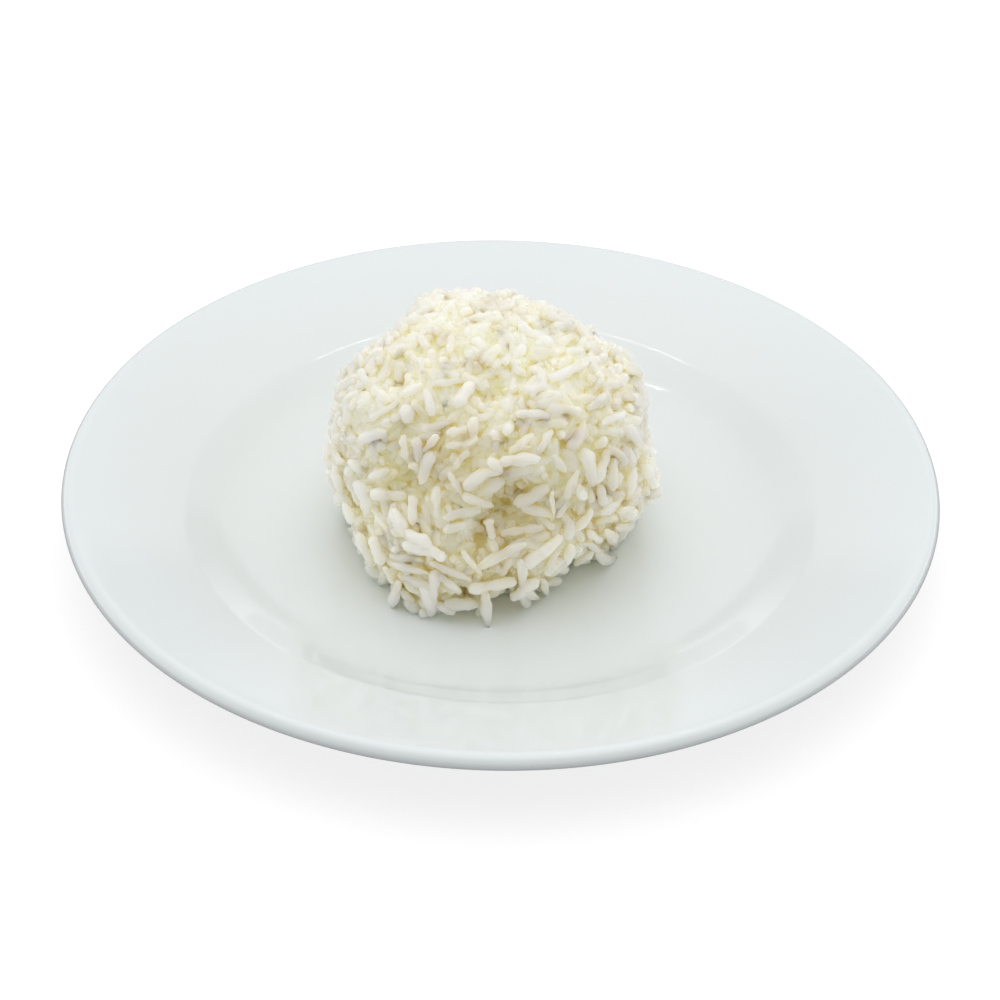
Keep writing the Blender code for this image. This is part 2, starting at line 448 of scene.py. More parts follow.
def radius_table():
    """The heap's radius about its middle, with its clumps, in rows of elevation and columns of azimuth."""
    elevation = math.pi * (np.arange(TABLE_ROWS + 1) / TABLE_ROWS - 0.5)[:, None]
    azimuth = math.tau * (np.arange(TABLE_COLUMNS) / TABLE_COLUMNS)[None, :]
    directions = directions_at(elevation, azimuth)
    table = [HEAP.ray_cast(HEAP_MIDDLE, Vector(way))[3] for way in directions.reshape(-1, 3)]
    return np.array(table).reshape(directions.shape[:-1]) + relief(directions) + clump_relief(directions)


RADII = radius_table()


def outline_radius(directions):
    """The heap's radius in each of these unit directions."""
    elevation = np.arcsin(np.clip(directions[..., 2], -1, 1))
    azimuth = np.arctan2(directions[..., 1], directions[..., 0]) % math.tau
    row = (elevation / math.pi + 0.5) * TABLE_ROWS
    column = azimuth / math.tau * TABLE_COLUMNS
    low_row = np.clip(row.astype(int), 0, TABLE_ROWS - 1)
    low_column = column.astype(int) % TABLE_COLUMNS
    next_column = (low_column + 1) % TABLE_COLUMNS
    down = row - low_row
    across = column - np.floor(column)
    upper = RADII[low_row, low_column] * (1 - across) + RADII[low_row, next_column] * across
    lower = RADII[low_row + 1, low_column] * (1 - across) + RADII[low_row + 1, next_column] * across
    return upper * (1 - down) + lower * down


def depth_below_outline(points):
    """How far points lie under the heap's outline, measured towards the heap's middle."""
    away = points - np.array(HEAP_MIDDLE)
    distance = np.linalg.norm(away, axis=-1)
    return outline_radius(away / np.maximum(distance, 1e-9)[..., None]) - distance


# ---- grains that the photograph shows ----
# Each grain that stands out: the pixels of its two ends, its width and its bow in pixels, and how far in
# millimetres each end stands above the outline. A positive bow is to the left on the way to the second end.
SHOWN_GRAINS = [
    # the lower front edge
    (472, 590, 513, 582, 12, 1, 0.8, 0.8),
    (480, 567, 525, 544, 9.5, 1, 0.2, 0.6),
    (526, 563, 559, 538, 12.5, -2, 0.8, 0.6),
    (485, 592, 488, 626, 10, 0, 0.6, 3.6),
    (463, 553, 480, 573, 8.5, 0, -0.4, -0.8),
    (432, 563, 470, 580, 9, 0, -0.6, -0.4),
    (440, 577, 459, 591, 9, 0, 0.3, 0.0),
    (398, 583, 393, 604, 11.5, 0, 0.2, 0.8),
    (423, 588, 430, 614, 13, 3, 0.0, 0.8),
    (436, 573, 431, 597, 11, 0, -0.5, -0.3),
    (393, 564, 426, 573, 9, 0, 0.1, 0.2),
    (405, 577, 432, 588, 10, 0, -1.0, -0.6),
    (447, 603, 476, 604, 10, -1, -0.4, 0.0),
    (452, 612, 440, 605, 10, 0, -0.2, -0.2),
    (412, 600, 400, 590, 9, 0, -1.0, -0.8),
    (492, 603, 498, 612, 9, 0, -0.5, -0.3),
    (385, 568, 392, 582, 8, 0, -0.4, -0.6),
    # the burst grain at the foot of the front
    (521, 562, 524, 588, 10, 0, 0.6, 1.2),
    (523, 590, 514, 598, 12, 0, 1.4, 1.2),
    (524, 588, 536, 582, 12, 0, 1.4, 1.0),
    (525, 591, 536, 598, 11, 0, 1.3, 0.9),
    (522, 592, 526, 603, 12, 0, 1.2, 0.8),
    # lower right
    (545, 584, 558, 581, 10, 0, -0.4, 0.3),
    (543, 580, 547, 594, 8, 0, -0.6, -0.2),
    (571, 546, 566, 563, 9, 1, 0.2, 0.0),
    (556, 553, 548, 572, 10, 0, -0.8, -0.8),
    (577, 563, 592, 553, 10, 0, -0.4, -0.4),
    (598, 551, 616, 557, 9, -6, 0.4, 1.0),
    (606, 531, 616, 546, 11, 2, 0.2, 0.6),
    (590, 533, 599, 541, 10, 0, 0.4, 0.2),
    (585, 545, 602, 550, 9, 0, -0.6, -0.4),
    (578, 527, 590, 509, 8, -2, 0.6, 0.4),
    (617, 528, 632, 526, 9, 0, -0.2, 0.2),
    # the bright cluster at the lower left
    (393, 513, 405, 529, 14, 0, 2.6, 2.6),
    (396, 524, 404, 534, 10, 0, 3.0, 3.0),
    (409, 533, 428, 545, 15, 0, 3.2, 3.0),
    (386, 537, 403, 550, 9.5, 0, 2.2, 2.8),
    (406, 545, 432, 552, 12, 0, 3.4, 3.0),
    (431, 549, 442, 558, 10.5, 0, 2.6, 2.6),
    (412, 498, 413, 522, 12, 0, 1.6, 2.4),
    (437, 489, 436, 516, 10, 0, 0.8, 0.2),
    (446, 518, 478, 511, 10, 2, 0.2, -0.2),
    (450, 557, 456, 544, 8, 0, -0.4, 0.2),
    (424, 505, 428, 521, 9, 0, -1.6, -1.4),
    (446, 530, 464, 524, 11, 0, -0.8, -1.0),
    (392, 556, 420, 560, 9, 0, -0.8, -0.8),
    (489, 522, 492, 536, 11, 0, -1.6, -1.4),
    (503, 534, 541, 528, 9, 1, -1.8, -1.4),
    # the two upright grains at the left
    (360, 536, 370, 563, 12, 0, 0.6, 0.4),
    (373, 539, 381, 562, 11, 0, 0.6, 0.2),
    (356, 484, 367, 509, 11, 2, 0.3, 0.3),
    (374, 494, 404, 496, 11.5, 0, 1.2, 0.0),
    (371, 476, 387, 471, 10, 0, 0.3, -0.2),
    (345, 505, 352, 520, 10, 0, -0.2, -0.4),
    (336, 475, 340, 492, 10, 0, 0.0, -0.2),
    (332, 452, 342, 462, 10, 0, 0.4, 0.2),
    # the arch over the cave
    (468, 489, 499, 473, 11.5, 6, 1.2, 1.6),
    (491, 461, 500, 470, 12, 0, 1.8, 1.8),
    (504, 461, 537, 458, 13, 0, 2.2, 2.2),
    (511, 452, 532, 435, 9.5, 0, 1.4, 1.8),
    (541, 467, 553, 486, 10.5, 4, 2.0, 1.6),
    (539, 449, 551, 432, 8.5, 0, 0.4, 0.4),
    (450, 474, 460, 492, 7, 0, 1.2, 1.2),
    (465, 496, 492, 506, 9, -1, 1.4, 1.2),
    (478, 495, 501, 481, 13, 1, -2.2, -2.0),
    (516, 502, 545, 487, 12, -3, -2.4, -1.8),
    (523, 508, 551, 516, 8.5, 1, -1.2, -0.6),
    (553, 493, 553, 515, 7, 0, 0.0, 0.0),
    (506, 474, 533, 470, 10, 2, -1.6, -1.4),
    (567, 496, 578, 472, 8.5, 1, 0.4, 0.6),
    # above the arch
    (569, 447, 583, 422, 9.5, -4, 0.8, 1.0),
    (551, 410, 580, 414, 10, 3, 0.8, 0.8),
    (519, 413, 546, 416, 11.5, 0, 0.8, 1.0),
    (507, 431, 509, 426, 11.5, 0, 1.6, -3.0),
    (491, 414, 502, 414, 9.5, 0, 0.8, 0.6),
    (480, 379, 488, 411, 7, 0, 1.4, 1.4),
    (470, 385, 458, 405, 13, 0, 0.2, 0.0),
    (474, 420, 472, 438, 11, 0, 0.4, 0.2),
    (449, 434, 465, 430, 9, 1, 0.6, 0.4),
    (447, 446, 461, 444, 9, 0, 0.6, 0.4),
    (464, 447, 475, 438, 8.5, 0, 0.6, 0.6),
    (466, 450, 456, 467, 8, 0, 0.6, 0.8),
    (493, 434, 497, 439, 9, 0, 0.6, -2.0),
    (404, 437, 405, 456, 8, 0, 1.2, 0.8),
    (408, 409, 407, 419, 13, 0, 0.8, 1.2),
    (411, 466, 417, 467, 8, 0, 0.6, 0.4),
    (431, 455, 421, 481, 11.5, 0, 0.6, 1.0),
    (416, 441, 420, 458, 12, 0, 0.2, 0.2),
    (436, 437, 426, 450, 9, 0, 0.2, 0.2),
    (426, 393, 432, 412, 13, 0, 0.2, 0.2),
    (405, 394, 420, 385, 9, 0, 0.4, 0.2),
    (372, 418, 396, 404, 11, 0, 0.2, 0.0),
    (360, 440, 384, 432, 11, 0, 0.2, 0.0),
    (420, 361, 423, 372, 8, 0, 0.6, 0.6),
    (434, 384, 462, 380, 8, 0, -1.6, -1.6),
    (553, 378, 585, 364, 14, 0, 0.4, 0.4),
    (527, 392, 545, 386, 9, 1, 0.4, 0.4),
    (538, 380, 532, 396, 9, 0, 0.2, 0.4),
    # the right flank
    (602, 513, 615, 505, 8.5, 0, 1.2, 1.2),
    (621, 512, 632, 508, 9, 0, 0.8, 0.8),
    (595, 480, 606, 452, 10, -2, 0.4, 0.6),
    (613, 488, 614, 461, 9.5, 1, 0.2, 0.4),
    (608, 451, 625, 463, 8.5, 4, 0.4, 0.2),
    (584, 452, 592, 482, 13, 2, 0.4, 0.2),
    (604, 503, 600, 488, 11, 0, 0.2, 0.0),
    (634, 470, 630, 492, 10, 0, 0.2, 0.4),
    (646, 466, 652, 486, 10, 1, 0.4, 0.4),
    (628, 428, 640, 446, 11, 1, 0.2, 0.2),
    (604, 424, 622, 414, 10, 0, 0.4, 0.2),
    (590, 408, 604, 396, 9, 0, 0.4, 0.2),
]

# Dark gaps between grains: pixel, radius in pixels, and how deep in millimetres the gap is kept clear.
GAPS = [
    (402, 477, 8, 6.5),
    (431, 485, 7, 7.0),
    (505, 503, 8, 8.0),
    (480, 532, 4, 8.0),
    (484, 549, 3.5, 7.0),
    (481, 560, 3, 5.0),
    (504, 545, 4.5, 6.0),
    (452, 539, 3, 5.0),
    (439, 547, 2.5, 4.0),
    (525, 484, 7, 5.0),
    (507, 441, 6, 6.0),
    (490, 450, 5, 6.0),
    (564, 475, 5, 6.0),
    (491, 395, 4, 5.0),
    (438, 402, 3, 6.0),
    (441, 394, 4, 5.0),
    (518, 429, 3, 4.0),
    (463, 588, 3, 4.0),
    (396, 455, 4, 5.0),
    (409, 436, 4, 4.0),
    (573, 497, 3, 4.0),
    (470, 466, 4, 5.0),
    (357, 505, 2, 4.0),
    (367, 532, 3, 4.0),
    (592, 519, 3, 4.0),
    (495, 603, 3, 5.0),
    (545, 455, 4, 5.0),
    (457, 614, 7, 4.0),
    (510, 609, 9, 5.0),
    (500, 503, 10, 9.0),
    (478, 536, 7, 13.0),
]


SHOWN_SWELL = 1.08  # the shown grains are this much thicker than their widths above, as their ends taper
AXIS_BELOW_MM = 1.0  # a grain's axis lies this far under what its surface reaches
END_REACH = 0.6  # how far a grain goes on past the pixels of its ends, as a share of its radius


def lifted_point(x, y, lift_mm):
    """The point on a pixel's ray that stands this far nearer to the camera than the heap's outline."""
    return camera_place() + pixel_ray(x, y) * (outline_depth(x, y) - lift_mm * MM)


def shown_grains():
    """The grains that the photograph shows, as (first end, middle, second end, radius)."""
    grains = []
    for x0, y0, x1, y1, width, bow, lift0, lift1 in SHOWN_GRAINS:
        run = math.hypot(x1 - x0, y1 - y0)
        side = ((y1 - y0) / run, -(x1 - x0) / run)
        first = lifted_point(x0, y0, lift0 - AXIS_BELOW_MM)
        second = lifted_point(x1, y1, lift1 - AXIS_BELOW_MM)
        middle_pixel = ((x0 + x1) / 2 + side[0] * bow, (y0 + y1) / 2 + side[1] * bow)
        middle_depth = ((first + second) / 2 - camera_place()).dot(camera_axes()[2])
        middle = camera_place() + pixel_ray(*middle_pixel) * middle_depth
        radius = width * SHOWN_SWELL / 2 / PIXELS_PER_MM * MM
        grains.append((np.array(first), np.array(middle), np.array(second), radius))
    return grains


# ---- loose grains ----
def pairs_nearby(points, reach):
    """Every pair of points in the same or in neighbouring cells of this size."""
    cells = np.floor((points - points.min(axis=0)) / reach).astype(np.int64) + 1
    size = cells.max(axis=0) + 2
    keys = (cells[:, 0] * size[1] + cells[:, 1]) * size[2] + cells[:, 2]
    order = np.argsort(keys, kind="stable")
    ordered = keys[order]
    steps = [(x, y, z) for x in (-1, 0, 1) for y in (-1, 0, 1) for z in (-1, 0, 1)]
    firsts, seconds = [], []
    for x, y, z in steps[len(steps) // 2 :]:
        shift = (x * size[1] + y) * size[2] + z
        if shift == 0:
            start = np.arange(len(points)) + 1
        else:
            start = np.searchsorted(ordered, ordered + shift, "left")
        stop = np.searchsorted(ordered, ordered + shift, "right")
        count = np.maximum(stop - start, 0)
        first = np.repeat(np.arange(len(points)), count)
        run = np.arange(count.sum()) - np.repeat(np.cumsum(count) - count, count)
        firsts.append(order[first])
        seconds.append(order[run + np.repeat(start, count)])
    return np.concatenate(firsts), np.concatenate(seconds)


BEAD_SHARES = np.linspace(-1, 1, BEADS)
GRAIN_FIELDS = ("centres", "axes", "sides", "halves", "radii", "bows", "fixed")


class Grains:
    """Grains as centres, axes, bowed sides, half lengths, radii and bows. Fixed ones are never moved."""

    def __init__(self, centres, axes, sides, halves, radii, bows, fixed):
        self.centres, self.axes, self.sides = centres, axes, sides
        self.halves, self.radii, self.bows, self.fixed = halves, radii, bows, fixed

    def beads(self):
        along = self.axes[:, None, :] * ((self.halves - self.radii)[:, None] * BEAD_SHARES)[..., None]
        bowed = self.sides[:, None, :] * (self.bows[:, None] * (1 - BEAD_SHARES**2))[..., None]
        return self.centres[:, None, :] + along + bowed

    def move(self, pushes):
        """Shifts and turns each free grain by the pushes on its beads."""
        arms = self.beads() - self.centres[:, None, :]
        shift = pushes.mean(axis=1)
        torque = np.cross(arms, pushes - shift[:, None, :]).sum(axis=1)
        turn = torque / np.maximum((arms**2).sum(axis=(1, 2)), 1e-12)[:, None]
        free = ~self.fixed
        self.centres[free] += shift[free]
        self.axes[free] += np.cross(turn[free], self.axes[free])
        self.axes[free] = unit(self.axes[free])
        self.sides[free] += np.cross(turn[free], self.sides[free])
        lean = (self.sides * self.axes).sum(axis=1, keepdims=True)
        self.sides = unit(self.sides - lean * self.axes)

    def chosen(self, which):
        return Grains(*(getattr(self, name)[which] for name in GRAIN_FIELDS))


def fixed_grains():
    first, middle, second, radii = (np.array(column) for column in zip(*shown_grains()))
    chords = second - first
    bowed = middle - (first + second) / 2
    bows = np.linalg.norm(bowed, axis=1)
    spare = unit(np.cross(chords, np.array((0.3, 0.2, 1.0))))
    sides = np.where(bows[:, None] > 1e-6, bowed, spare)
    axes = unit(chords)
    lean = (sides * axes).sum(axis=1, keepdims=True)
    sides = unit(sides - lean * axes)
    halves = np.linalg.norm(chords, axis=1) / 2 + radii * END_REACH
    fixed = np.ones(len(radii), bool)
    return Grains((first + second) / 2, axes, sides, halves, radii, bows, fixed)


def random_axes(outwards, lying, draw):
    """Axes at random, but leaning less along these outward directions, and a side square to each."""
    loose = draw.normal(size=outwards.shape)
    outward = (loose * outwards).sum(axis=1, keepdims=True)
    axes = unit(loose - outward * outwards * lying)
    return axes, unit(np.cross(axes, draw.normal(size=outwards.shape)))


def free_grains(draw):
    """Loose grains strewn at random through the heap's outer shell, most of them lying along it."""
    count = LOOSE_GRAINS
    height = draw.uniform(HEAP_FOOT, 1.0, count)
    azimuth = draw.uniform(0, math.tau, count)
    flat = np.sqrt(1 - height**2)
    directions = np.stack([flat * np.cos(azimuth), flat * np.sin(azimuth), height], axis=1)
    depth = SHELL_DEPTH * draw.uniform(0, 1, count) ** 0.9  # a few more lie deep than shallow
    distance = outline_radius(directions) - depth - LEAST_DEPTH
    centres = np.array(HEAP_MIDDLE) + directions * distance[:, None]
    axes, sides = random_axes(directions, LYING, draw)
    lengths = draw.uniform(*GRAIN_LENGTH, count) * MM
    broken = draw.uniform(0, 1, count) < BROKEN_SHARE
    lengths[broken] *= draw.uniform(*BROKEN_LENGTH, broken.sum())
    radii = draw.uniform(*GRAIN_WIDTH, count) / 2 * MM
    bows = np.abs(draw.normal(0, LOOSE_BOW, count)) * lengths
    return Grains(centres, axes, sides, lengths / 2, radii, bows, np.zeros(count, bool))


def core_inset(directions):
    """How far under the heap's outline the core lies: less towards the top."""
    share = np.clip((directions[..., 2] - TOP_START) / TOP_SPAN, 0, 1)
    return CORE_INSET + (TOP_CORE_INSET - CORE_INSET) * share


def bedded_grains(draw):
    """Grains half sunk in the core, which show where the loose ones leave a gap."""
    directions = unit(draw.normal(size=(BEDDED_GRAINS, 3)))
    directions = directions[directions[:, 2] > BEDDED_LOWEST]
    count = len(directions)
    distance = outline_radius(directions) - core_inset(directions) + draw.uniform(*BEDDED_RISE, count) * MM
    centres = np.array(HEAP_MIDDLE) + directions * distance[:, None]
    axes, sides = random_axes(directions, BEDDED_LYING, draw)
    halves = draw.uniform(*BEDDED_HALF, count) * MM
    radii = draw.uniform(*GRAIN_WIDTH, count) / 2 * MM
    bows = np.abs(draw.normal(0, BEDDED_BOW, count)) * halves
    return Grains(centres, axes, sides, halves, radii, bows, np.zeros(count, bool))


def joined(first, second):
    return Grains(*(np.concatenate([getattr(first, name), getattr(second, name)]) for name in GRAIN_FIELDS))


def outline_push(beads, radii, allowance):
    """Pushes beads back inside the heap's outline, up off the plate, and out of the deep middle."""
    middle = np.array(HEAP_MIDDLE)
    away = beads - middle
    distance = np.linalg.norm(away, axis=-1)
    directions = away / np.maximum(distance, 1e-9)[..., None]
    outline = outline_radius(directions)
    over = np.maximum(distance - (outline - radii[:, None] + allowance[:, None]), 0)
    under = np.maximum(outline - SHELL_DEPTH - SHELL_SLACK - distance, 0)
    pushes = directions * (under - over)[..., None]
    floor = floor_height() + radii[:, None] * FLOOR_TOUCH
    pushes[..., 2] += np.maximum(floor - beads[..., 2] - pushes[..., 2], 0)
    return pushes


def settle(grains, allowance):
    """Pushes grains off each other and into the heap's outline, step by step."""
    count = len(grains.radii)
    owner = np.repeat(np.arange(count), BEADS)
    reach = 2 * grains.radii.max()
    for step in range(SETTLE_STEPS):
        grown = min(1.0, START_SIZE + GROWTH * step / SETTLE_STEPS)
        beads = grains.beads().reshape(-1, 3)
        if step % 3 == 0:
            first, second = pairs_nearby(beads, reach * 1.15)
            apart = owner[first] != owner[second]
            first, second = first[apart], second[apart]
        gap = beads[first] - beads[second]
        distance = np.linalg.norm(gap, axis=1)
        wanted = (grains.radii[owner[first]] + grains.radii[owner[second]]) * CONTACT * grown
        overlap = np.maximum(wanted - distance, 0)
        touching = overlap > 0
        one, other = first[touching], second[touching]
        push = gap[touching] * (overlap[touching] / np.maximum(distance[touching], 1e-9))[:, None]
        pushes = np.zeros_like(beads)
        for pushed, resting, way in ((one, other, 1), (other, one, -1)):
            share = np.where(grains.fixed[owner[resting]], 1.0, 0.5) * way
            for axis in range(3):
                pushes[:, axis] += np.bincount(pushed, push[:, axis] * share, len(beads))
        pushes = pushes.reshape(-1, BEADS, 3) * PUSH_APART
        beads = beads.reshape(-1, BEADS, 3)
        pushes += outline_push(beads, grains.radii, allowance) * PUSH_HOME
        grains.move(pushes)


def covers_shown(grains):
    """How far in metres each free grain must sink so that no shown grain and no gap lies behind it."""
    beads = grains.beads()
    x, y, depth = pixel_of(beads.reshape(-1, 3))
    x, y, depth = (values.reshape(-1, BEADS) for values in (x, y, depth))
    sink = np.zeros(len(grains.radii))
    radii_px = grains.radii * PIXELS_PER_MM / MM
    for index in np.nonzero(grains.fixed)[0]:
        for bead in range(BEADS):
            off = np.hypot(x - x[index, bead], y - y[index, bead])
            close = off < (radii_px[index] + radii_px[:, None]) * COVER_SPAN
            before = depth[index, bead] + grains.radii[index] * COVER_DEPTH - depth
            over = np.where(close & (before > 0) & (before < SAME_SIDE), before, 0).max(axis=1)
            sink = np.maximum(sink, over)
    surface = depth_below_outline(beads)
    for gap_x, gap_y, radius, clear_mm in GAPS:
        off = np.hypot(x - gap_x, y - gap_y)
        inside = (off < radius + radii_px[:, None] * GAP_SPAN) & (depth < LIP_DISTANCE)
        over = np.where(inside, clear_mm * MM + grains.radii[:, None] - surface, 0).max(axis=1)
        sink = np.maximum(sink, over)
    return np.where(grains.fixed, 0, sink)


def heap_grains():
    """The shown grains and the loose ones, settled. Loose ones before a shown one or a gap sink first."""
    draw = np.random.default_rng(SEED)
    grains = joined(fixed_grains(), free_grains(draw))
    allowance = draw.normal(*LOOSE_RISE, len(grains.radii))
    for _ in range(2):
        sink = covers_shown(grains)
        inward = unit(np.array(HEAP_MIDDLE) - grains.centres)
        grains.centres += inward * sink[:, None]
        lowered = -np.maximum(depth_below_outline(grains.beads()).min(axis=1) - grains.radii, 0)
        allowance = np.where(sink > 0, np.minimum(allowance, lowered), allowance)
    settle(grains, allowance)
    return grains.chosen(covers_shown(grains) < MOST_COVER)


# ---- grain meshes ----
def grain_vertices(grains, rings, sides, draw):
    """Each grain's vertices, ring by ring, and last the point at each of its ends.

    A cooked grain is a long rounded body with one blunter end, a shallow crease along it, a slightly
    flattened section, and swellings along its length."""
    count = len(grains.radii)

    def each(low, high):
        """A number at random for each grain."""
        return draw.uniform(low, high, (count, 1))

    share = -np.cos(np.linspace(0, math.pi, rings + 2))[1:-1]
    blunt = each(3.0, 6.5)
    sharp = each(2.0, 4.5)
    power = np.where(share[None, :] < 0, blunt, sharp)
    body = (1 - np.abs(share[None, :]) ** power) ** 0.5
    swell = 1.05 + 0.12 * np.sin(each(1.5, 4.5) * share[None, :] + each(0, 6.3))
    swell += 0.07 * np.sin(each(5, 9) * share[None, :] + each(0, 6.3))
    taper = 1 - each(0.0, 0.18) * (0.5 + 0.5 * share[None, :])
    radius = grains.radii[:, None] * body * swell * taper

    around = np.linspace(0, math.tau, sides, endpoint=False)
    flatten = each(0.68, 0.96)[..., None]
    twist = each(-0.5, 0.5) * share[None, :] + each(0, 6.3)
    angle = around[None, None, :] + twist[..., None]
    crease = 1 - each(0.0, 0.11)[..., None] * np.maximum(np.cos(angle), 0) ** 6
    crease *= 1 + 0.03 * np.sin(angle * 2 + each(0, 6.3)[..., None])
    across = radius[..., None] * np.cos(angle) * crease
    upward = radius[..., None] * np.sin(angle) * crease * flatten

    ups = unit(np.cross(grains.axes, grains.sides))
    wander = draw.normal(0, 0.035, (count, 1)) * grains.halves[:, None] * np.sin(share[None, :] * 3.0)
    slope = -2 * grains.bows[:, None] * share[None, :] / grains.halves[:, None]
    tangents = unit(grains.axes[:, None, :] + grains.sides[:, None, :] * slope[..., None])
    normals = unit(np.cross(ups[:, None, :], tangents))
    along = grains.axes[:, None, :] * (grains.halves[:, None] * share)[..., None]
    spine = grains.centres[:, None, :] + along
    spine += grains.sides[:, None, :] * (grains.bows[:, None] * (1 - share**2))[..., None]
    spine += ups[:, None, :] * wander[..., None]
    outward = normals[:, :, None, :] * across[..., None] + ups[:, None, None, :] * upward[..., None]
    points = spine[:, :, None, :] + outward
    points = points + unit(outward) * unevenness(points)[..., None]
    ends = [grains.centres + grains.axes * (grains.halves * end)[:, None] for end in (-1, 1)]
    flat = points.reshape(count, rings * sides, 3)
    return np.concatenate([flat, ends[0][:, None, :], ends[1][:, None, :]], axis=1)


def unevenness(points):
    """How far the grains' skin stands out or in at these points."""
    flat = points.reshape(-1, 3)
    height = np.zeros(len(flat))
    for wave_length, rise in ROUGHENING:
        height += rise * np.array([waves.noise(Vector(point / wave_length)) for point in flat])
    return height.reshape(points.shape[:-1])


def add_attribute(mesh, name, values):
    made = mesh.attributes.new(name, "FLOAT", "POINT")
    made.data.foreach_set("value", values.astype(np.float32))


def joined_meshes(parts):
    """Points, quads and triangles of several parts as one."""
    points, quads, triangles, base = [], [], [], 0
    for part_points, part_quads, part_triangles in parts:
        points.append(part_points)
        quads.append(part_quads + base)
        triangles.append(part_triangles + base)
        base += len(part_points)
    return np.concatenate(points), np.concatenate(quads), np.concatenate(triangles)


def grains_as_mesh(grains, rings, sides, draw):
    """Points, quads and triangles of all these grains."""
    points = grain_vertices(grains, rings, sides, draw)
    count, each = points.shape[:2]
    base = (np.arange(count) * each)[:, None, None]
    quads, triangles = (faces[None] + base for faces in closed_faces(rings, sides))
    return points.reshape(-1, 3), quads.reshape(-1, 4), triangles.reshape(-1, 3)


def fusing_nodes():
    """Geometry nodes that fuse a mesh's separate closed bodies into one skin."""
    tree = bpy.data.node_groups.new("fused", "GeometryNodeTree")
    tree.interface.new_socket("Geometry", in_out="INPUT", socket_type="NodeSocketGeometry")
    tree.interface.new_socket("Geometry", in_out="OUTPUT", socket_type="NodeSocketGeometry")
    island = tree.nodes.new("GeometryNodeInputMeshIsland")
    split = tree.nodes.new("GeometryNodeSplitToInstances")
    union = tree.nodes.new("GeometryNodeMeshBoolean")
    union.operation = "UNION"
    union.solver = "MANIFOLD"
    tree.links.new(tree.nodes.new("NodeGroupInput").outputs[0], split.inputs[0])
    tree.links.new(island.outputs["Island Index"], split.inputs["Group ID"])
    tree.links.new(split.outputs[0], union.inputs["Mesh"])
    tree.links.new(union.outputs["Mesh"], tree.nodes.new("NodeGroupOutput").inputs[0])
    return tree


def with_modifier(mesh, kind, **settings):
    """A copy of the mesh with one modifier applied."""
    carrier = link(bpy.data.objects.new("carrier", mesh))
    modifier = carrier.modifiers.new("change", kind)
    for name, value in settings.items():
        setattr(modifier, name, value)
    evaluated = carrier.evaluated_get(bpy.context.evaluated_depsgraph_get())
    changed = bpy.data.meshes.new_from_object(evaluated)
    bpy.data.objects.remove(carrier)
    return changed


def triangle_count(mesh):
    return len(mesh.loops) - 2 * len(mesh.polygons)


def point_array(mesh):
    points = np.empty(len(mesh.vertices) * 3, np.float32)
    mesh.vertices.foreach_get("co", points)
    return points.reshape(-1, 3).astype(float)


def normal_array(mesh):
    normals = np.empty(len(mesh.vertices) * 3, np.float32)
    mesh.vertex_normals.foreach_get("vector", normals)
    return normals.reshape(-1, 3).astype(float)


def without_hollows(mesh):
    """Takes out closed hollows and grains that lie loose inside them."""
    body = bmesh.new()
    body.from_mesh(mesh)
    left = set(body.verts)
    islands = []
    while left:
        island, front = set(), {next(iter(left))}
        while front:
            island |= front
            front = {edge.other_vert(vertex) for vertex in front for edge in vertex.link_edges} - island
        islands.append(island)
        left -= island
    dropped = set(body.verts) - max(islands, key=len)
    bmesh.ops.delete(body, geom=list(dropped), context="VERTS")
    body.to_mesh(mesh)
    body.free()


def openness(mesh):
    """How open each point lies, which sets its painted shade: the share of rays over its surface meeting no
    rice nearby.
    """
    tree = BVHTree.FromPolygons(
        [vertex.co for vertex in mesh.vertices], [tuple(polygon.vertices) for polygon in mesh.polygons]
    )
    draw = np.random.default_rng(SEED + 7)
    points, normals = point_array(mesh), normal_array(mesh)
    starts = points + normals * RAY_LIFT_MM * MM
    missed = np.zeros(len(points))
    for _ in range(LIGHT_RAYS):
        ways = unit(normals * OUTWARDS + unit(draw.normal(size=points.shape)))
        for index, (start, way) in enumerate(zip(starts, ways)):
            missed[index] += tree.ray_cast(start, way, LIGHT_REACH)[0] is None
    return missed / LIGHT_RAYS


def grain_tones(grains, points, draw):
    """The tone of the grain nearest to each point."""
    beads = grains.beads().reshape(-1, 3)
    tones = draw.uniform(*LOOSE_TONES, len(grains.radii))
    tones[grains.fixed] = draw.uniform(*SHOWN_TONES, grains.fixed.sum())
    tones = np.repeat(tones, BEADS)
    tree = KDTree(len(beads))
    for index, bead in enumerate(beads):
        tree.insert(bead, index)
    tree.balance()
    return np.array([tones[tree.find(point)[1]] for point in points])


def make_rice(grains):
    """All the rice as one skin. Each point keeps how open it lies, which sets its painted shade, and its
    grain's tone.
    """
    draw = np.random.default_rng(SEED + 1)
    outer = ~grains.fixed & (depth_below_outline(grains.centres) < OUTER_DEPTH)
    inner = ~grains.fixed & ~outer
    stuck = grains.chosen(inner)
    stuck.radii = stuck.radii * INNER_SWELL
    parts = [
        grains_as_mesh(grains.chosen(grains.fixed), *SHOWN_DETAIL, draw),
        grains_as_mesh(grains.chosen(outer), *OUTER_DETAIL, draw),
        grains_as_mesh(stuck, *INNER_DETAIL, draw),
        grains_as_mesh(bedded_grains(draw), *INNER_DETAIL, draw),
        core_mesh(),
    ]
    separate = mesh_from_arrays("separate_rice", *joined_meshes(parts))
    mesh = with_modifier(separate, "NODES", node_group=fusing_nodes())
    without_hollows(mesh)
    mesh = with_modifier(mesh, "DECIMATE", ratio=min(1.0, RICE_TRIANGLES / triangle_count(mesh)))
    mesh.name = "rice_grains"
    mesh.shade_smooth()
    mesh.set_sharp_from_angle(angle=CREASE_ANGLE)
    points = point_array(mesh)
    add_attribute(mesh, "openness", openness(mesh))
    add_attribute(mesh, "grain_tone", grain_tones(grains, points, draw))
    mesh.materials.clear()
    mesh.materials.append(cooked_rice())
    piece = link(bpy.data.objects.new("rice_grains", mesh))
    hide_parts("rice_heap")
    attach(piece, "root")


